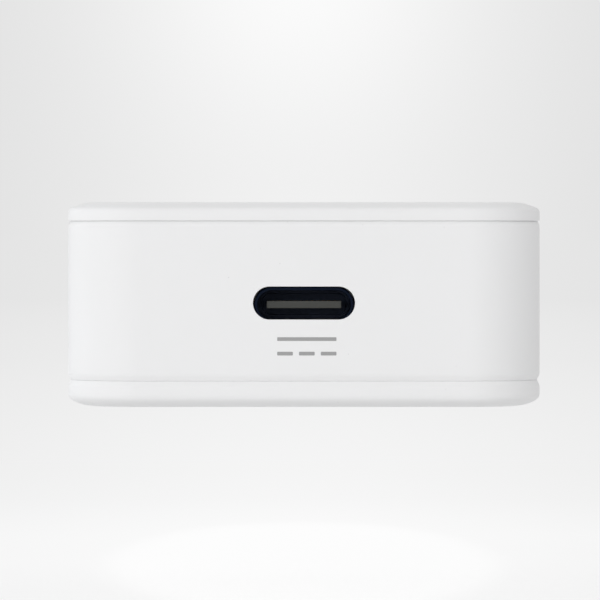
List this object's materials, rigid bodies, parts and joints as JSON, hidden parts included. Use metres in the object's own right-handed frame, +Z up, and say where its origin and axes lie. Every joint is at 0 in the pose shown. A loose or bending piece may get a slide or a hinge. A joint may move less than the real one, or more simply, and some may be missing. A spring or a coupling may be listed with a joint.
{
  "type": "power adapter",
  "caption": "Slim white wall charger with one USB-C socket in its front face, flush top and bottom covers, and flat mains blades that fold into the underside.",
  "frame": {"origin": "middle of the underside, between the folded blades", "axes": "+Z up through the top cover, -Y out of the face with the socket, +X to the right of that face"},
  "size_m": [0.0428, 0.044, 0.0184],
  "materials": {
    "white_housing": "fine satin white polycarbonate",
    "white_hub": "smooth satin white nylon",
    "nickel_blade": "bright nickel plate with fine rolling lines",
    "screw_steel": "zinc plated",
    "spring_steel": "polished strip",
    "contact_brass": "rolled strip",
    "green_board": "solder mask over glass epoxy",
    "socket_metal": "black plated steel",
    "socket_plastic": "dark moulded tongue",
    "socket_black": "black moulding",
    "gold_contact": "gold flash",
    "fuse_body": "moulded tube",
    "tinned_wire": "tinned",
    "blue_epoxy": "dipped epoxy",
    "ferrite": "sintered",
    "copper_winding": "enamelled wire",
    "black_chip": "moulded epoxy",
    "capacitor_sleeve": "shrunk sleeve",
    "capacitor_rubber": "moulded",
    "black_bobbin": "moulded phenolic",
    "yellow_tape": "polyester film",
    "white_opto": "moulded epoxy",
    "capacitor_can": "drawn can",
    "ceramic_tan": "fired ceramic",
    "resistor_black": "glazed film",
    "spreader_aluminium": "rolled sheet",
    "grey_pad": "soft silicone",
    "barrier_film": "thin polycarbonate sheet",
    "printed_grey": "pad-printed ink"
  },
  "bodies": {
    "housing": {"bottom_cover": "white_housing", "body_shell": "white_housing", "top_cover": "white_housing", "hub_retainer": "white_hub", "retainer_screws": "screw_steel", "detent_spring": "spring_steel", "line_contact": "contact_brass", "neutral_contact": "contact_brass", "main_board": "green_board", "usb_shell": "socket_metal", "usb_tongue": "socket_plastic", "usb_contacts": "gold_contact", "usb_insulator": "socket_black", "fuse": "fuse_body", "fuse_leads": "tinned_wire", "varistor": "blue_epoxy", "choke_core": "ferrite", "choke_windings": "copper_winding", "filter_inductor": "ferrite", "filter_winding": "copper_winding", "bridge_rectifier": "black_chip", "bulk_capacitor_left": "capacitor_sleeve", "bulk_capacitor_right": "capacitor_sleeve", "capacitor_bungs": "capacitor_rubber", "capacitor_leads": "tinned_wire", "primary_controller": "black_chip", "snubber_diode": "black_chip", "transformer_core_lower": "ferrite", "transformer_core_upper": "ferrite", "transformer_bobbin": "black_bobbin", "transformer_winding": "copper_winding", "transformer_tape": "yellow_tape", "transformer_pins": "tinned_wire", "y_capacitor": "blue_epoxy", "optocoupler": "white_opto", "sync_rectifier": "black_chip", "pd_controller": "black_chip", "output_switch": "black_chip", "output_capacitors": "capacitor_can", "output_capacitor_bases": "black_bobbin", "chip_capacitors": "ceramic_tan", "chip_resistors": "resistor_black", "heat_spreader": "spreader_aluminium", "thermal_pad": "grey_pad", "isolation_barrier": "barrier_film"},
    "plug": {"plug_hub": "white_hub", "line_blade": "nickel_blade", "neutral_blade": "nickel_blade"}
  },
  "joints": [
    {"name": "plug_fold", "type": "hinge", "parent": "housing", "child": "plug", "pos_m": [0, 0.00822, 0.00373], "axis": [1, 0, 0], "range_deg": [0, 90], "deforming": ["detent_spring"]}
  ]
}
